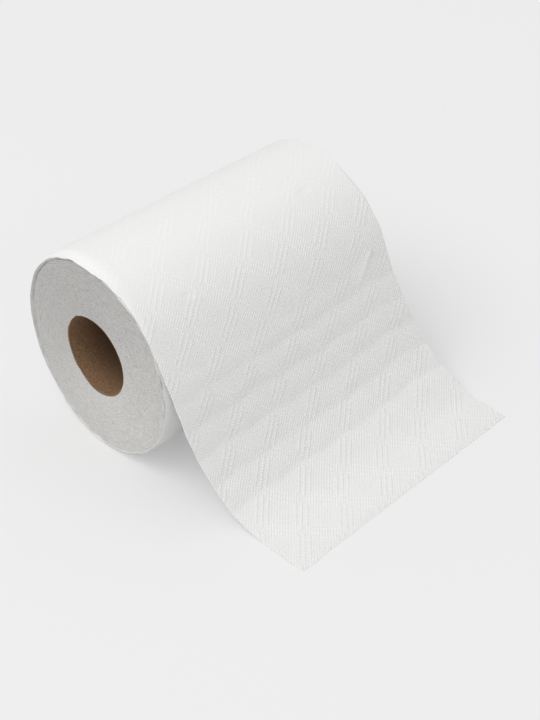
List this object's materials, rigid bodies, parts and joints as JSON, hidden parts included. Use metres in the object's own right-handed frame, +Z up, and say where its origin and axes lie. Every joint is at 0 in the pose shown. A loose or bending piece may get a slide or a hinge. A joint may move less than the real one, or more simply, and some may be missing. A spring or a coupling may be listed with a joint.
{
  "type": "paper towel roll",
  "caption": "Roll of white embossed paper towel on an open cardboard core, lying on its side with its free sheet drawn over the top and down to the floor.",
  "frame": {"origin": "middle of the core's bore, half way along the roll", "axes": "+Y along the core, +X the way the free sheet is drawn off, +Z up with the roll lying on its flat spot"},
  "size_m": [0.2298, 0.1939, 0.129],
  "materials": {
    "core": "plain brown wound board, matt and speckled",
    "paper": "soft white absorbent paper, matt, with an embossed diamond lattice"
  },
  "bodies": {
    "root": {"core_tube": "core", "paper_roll": "paper"}
  },
  "joints": []
}
